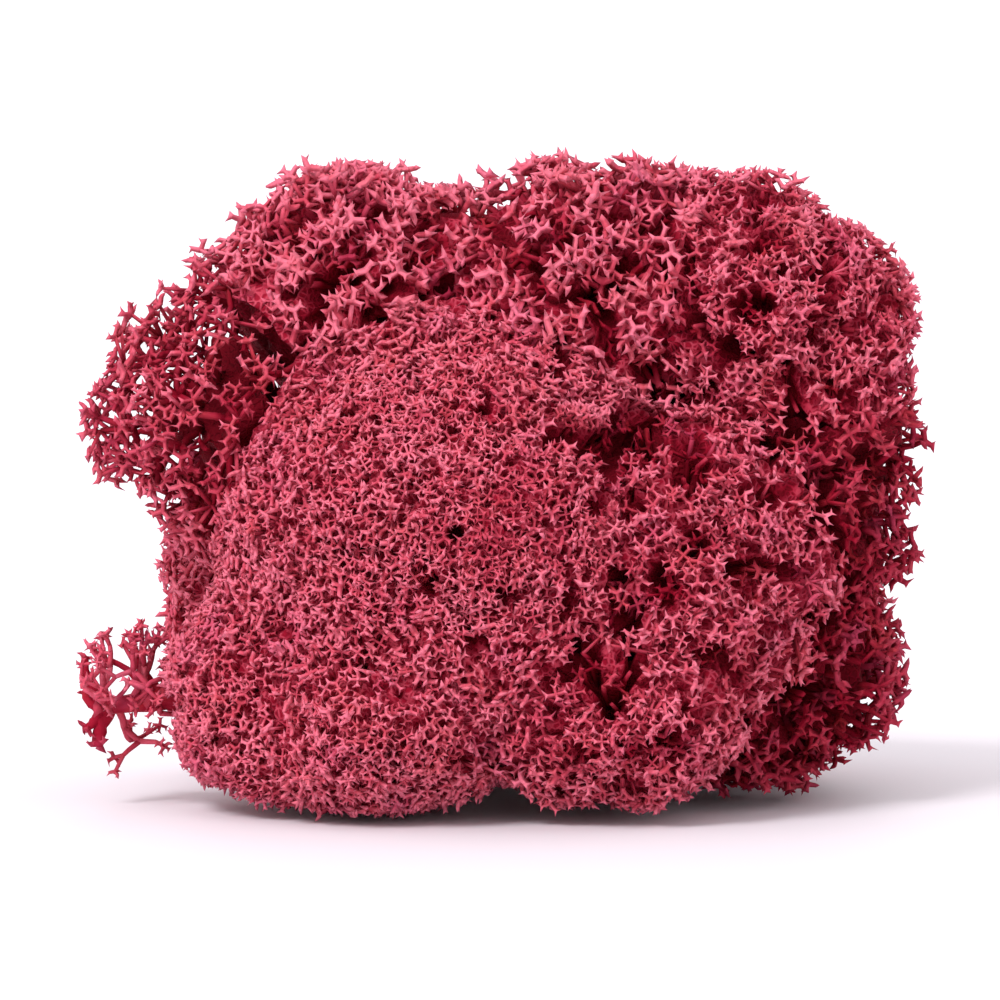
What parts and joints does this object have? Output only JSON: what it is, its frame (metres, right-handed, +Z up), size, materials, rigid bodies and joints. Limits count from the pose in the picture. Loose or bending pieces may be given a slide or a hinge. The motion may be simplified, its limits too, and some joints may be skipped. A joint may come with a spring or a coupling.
{
  "type": "preserved lichen",
  "caption": "Clump of dyed, preserved reindeer lichen: rounded heads of finely forked branchlets on stems that fan out from a cut base, lying on its side.",
  "frame": {"origin": "centre of the clump's outline on the surface it lies on", "axes": "+Z up, -Y towards the side with the largest dome, +X to the right of someone who faces that dome"},
  "size_m": [0.107, 0.0886, 0.0812],
  "materials": {
    "dyed_lichen": "matt, soft and slightly waxy, dyed wine red, darker inside"
  },
  "bodies": {
    "root": {"main_dome": "dyed_lichen", "front_right_shoulder": "dyed_lichen", "upper_right_head": "dyed_lichen", "top_head": "dyed_lichen", "front_left_bulge": "dyed_lichen", "front_right_bulge": "dyed_lichen", "left_foot_head": "dyed_lichen", "left_flank_head": "dyed_lichen", "upper_left_head": "dyed_lichen", "right_foot_head": "dyed_lichen", "right_flank_head": "dyed_lichen", "back_top_head": "dyed_lichen", "back_left_head": "dyed_lichen", "back_right_head": "dyed_lichen", "rear_head": "dyed_lichen"}
  },
  "joints": []
}
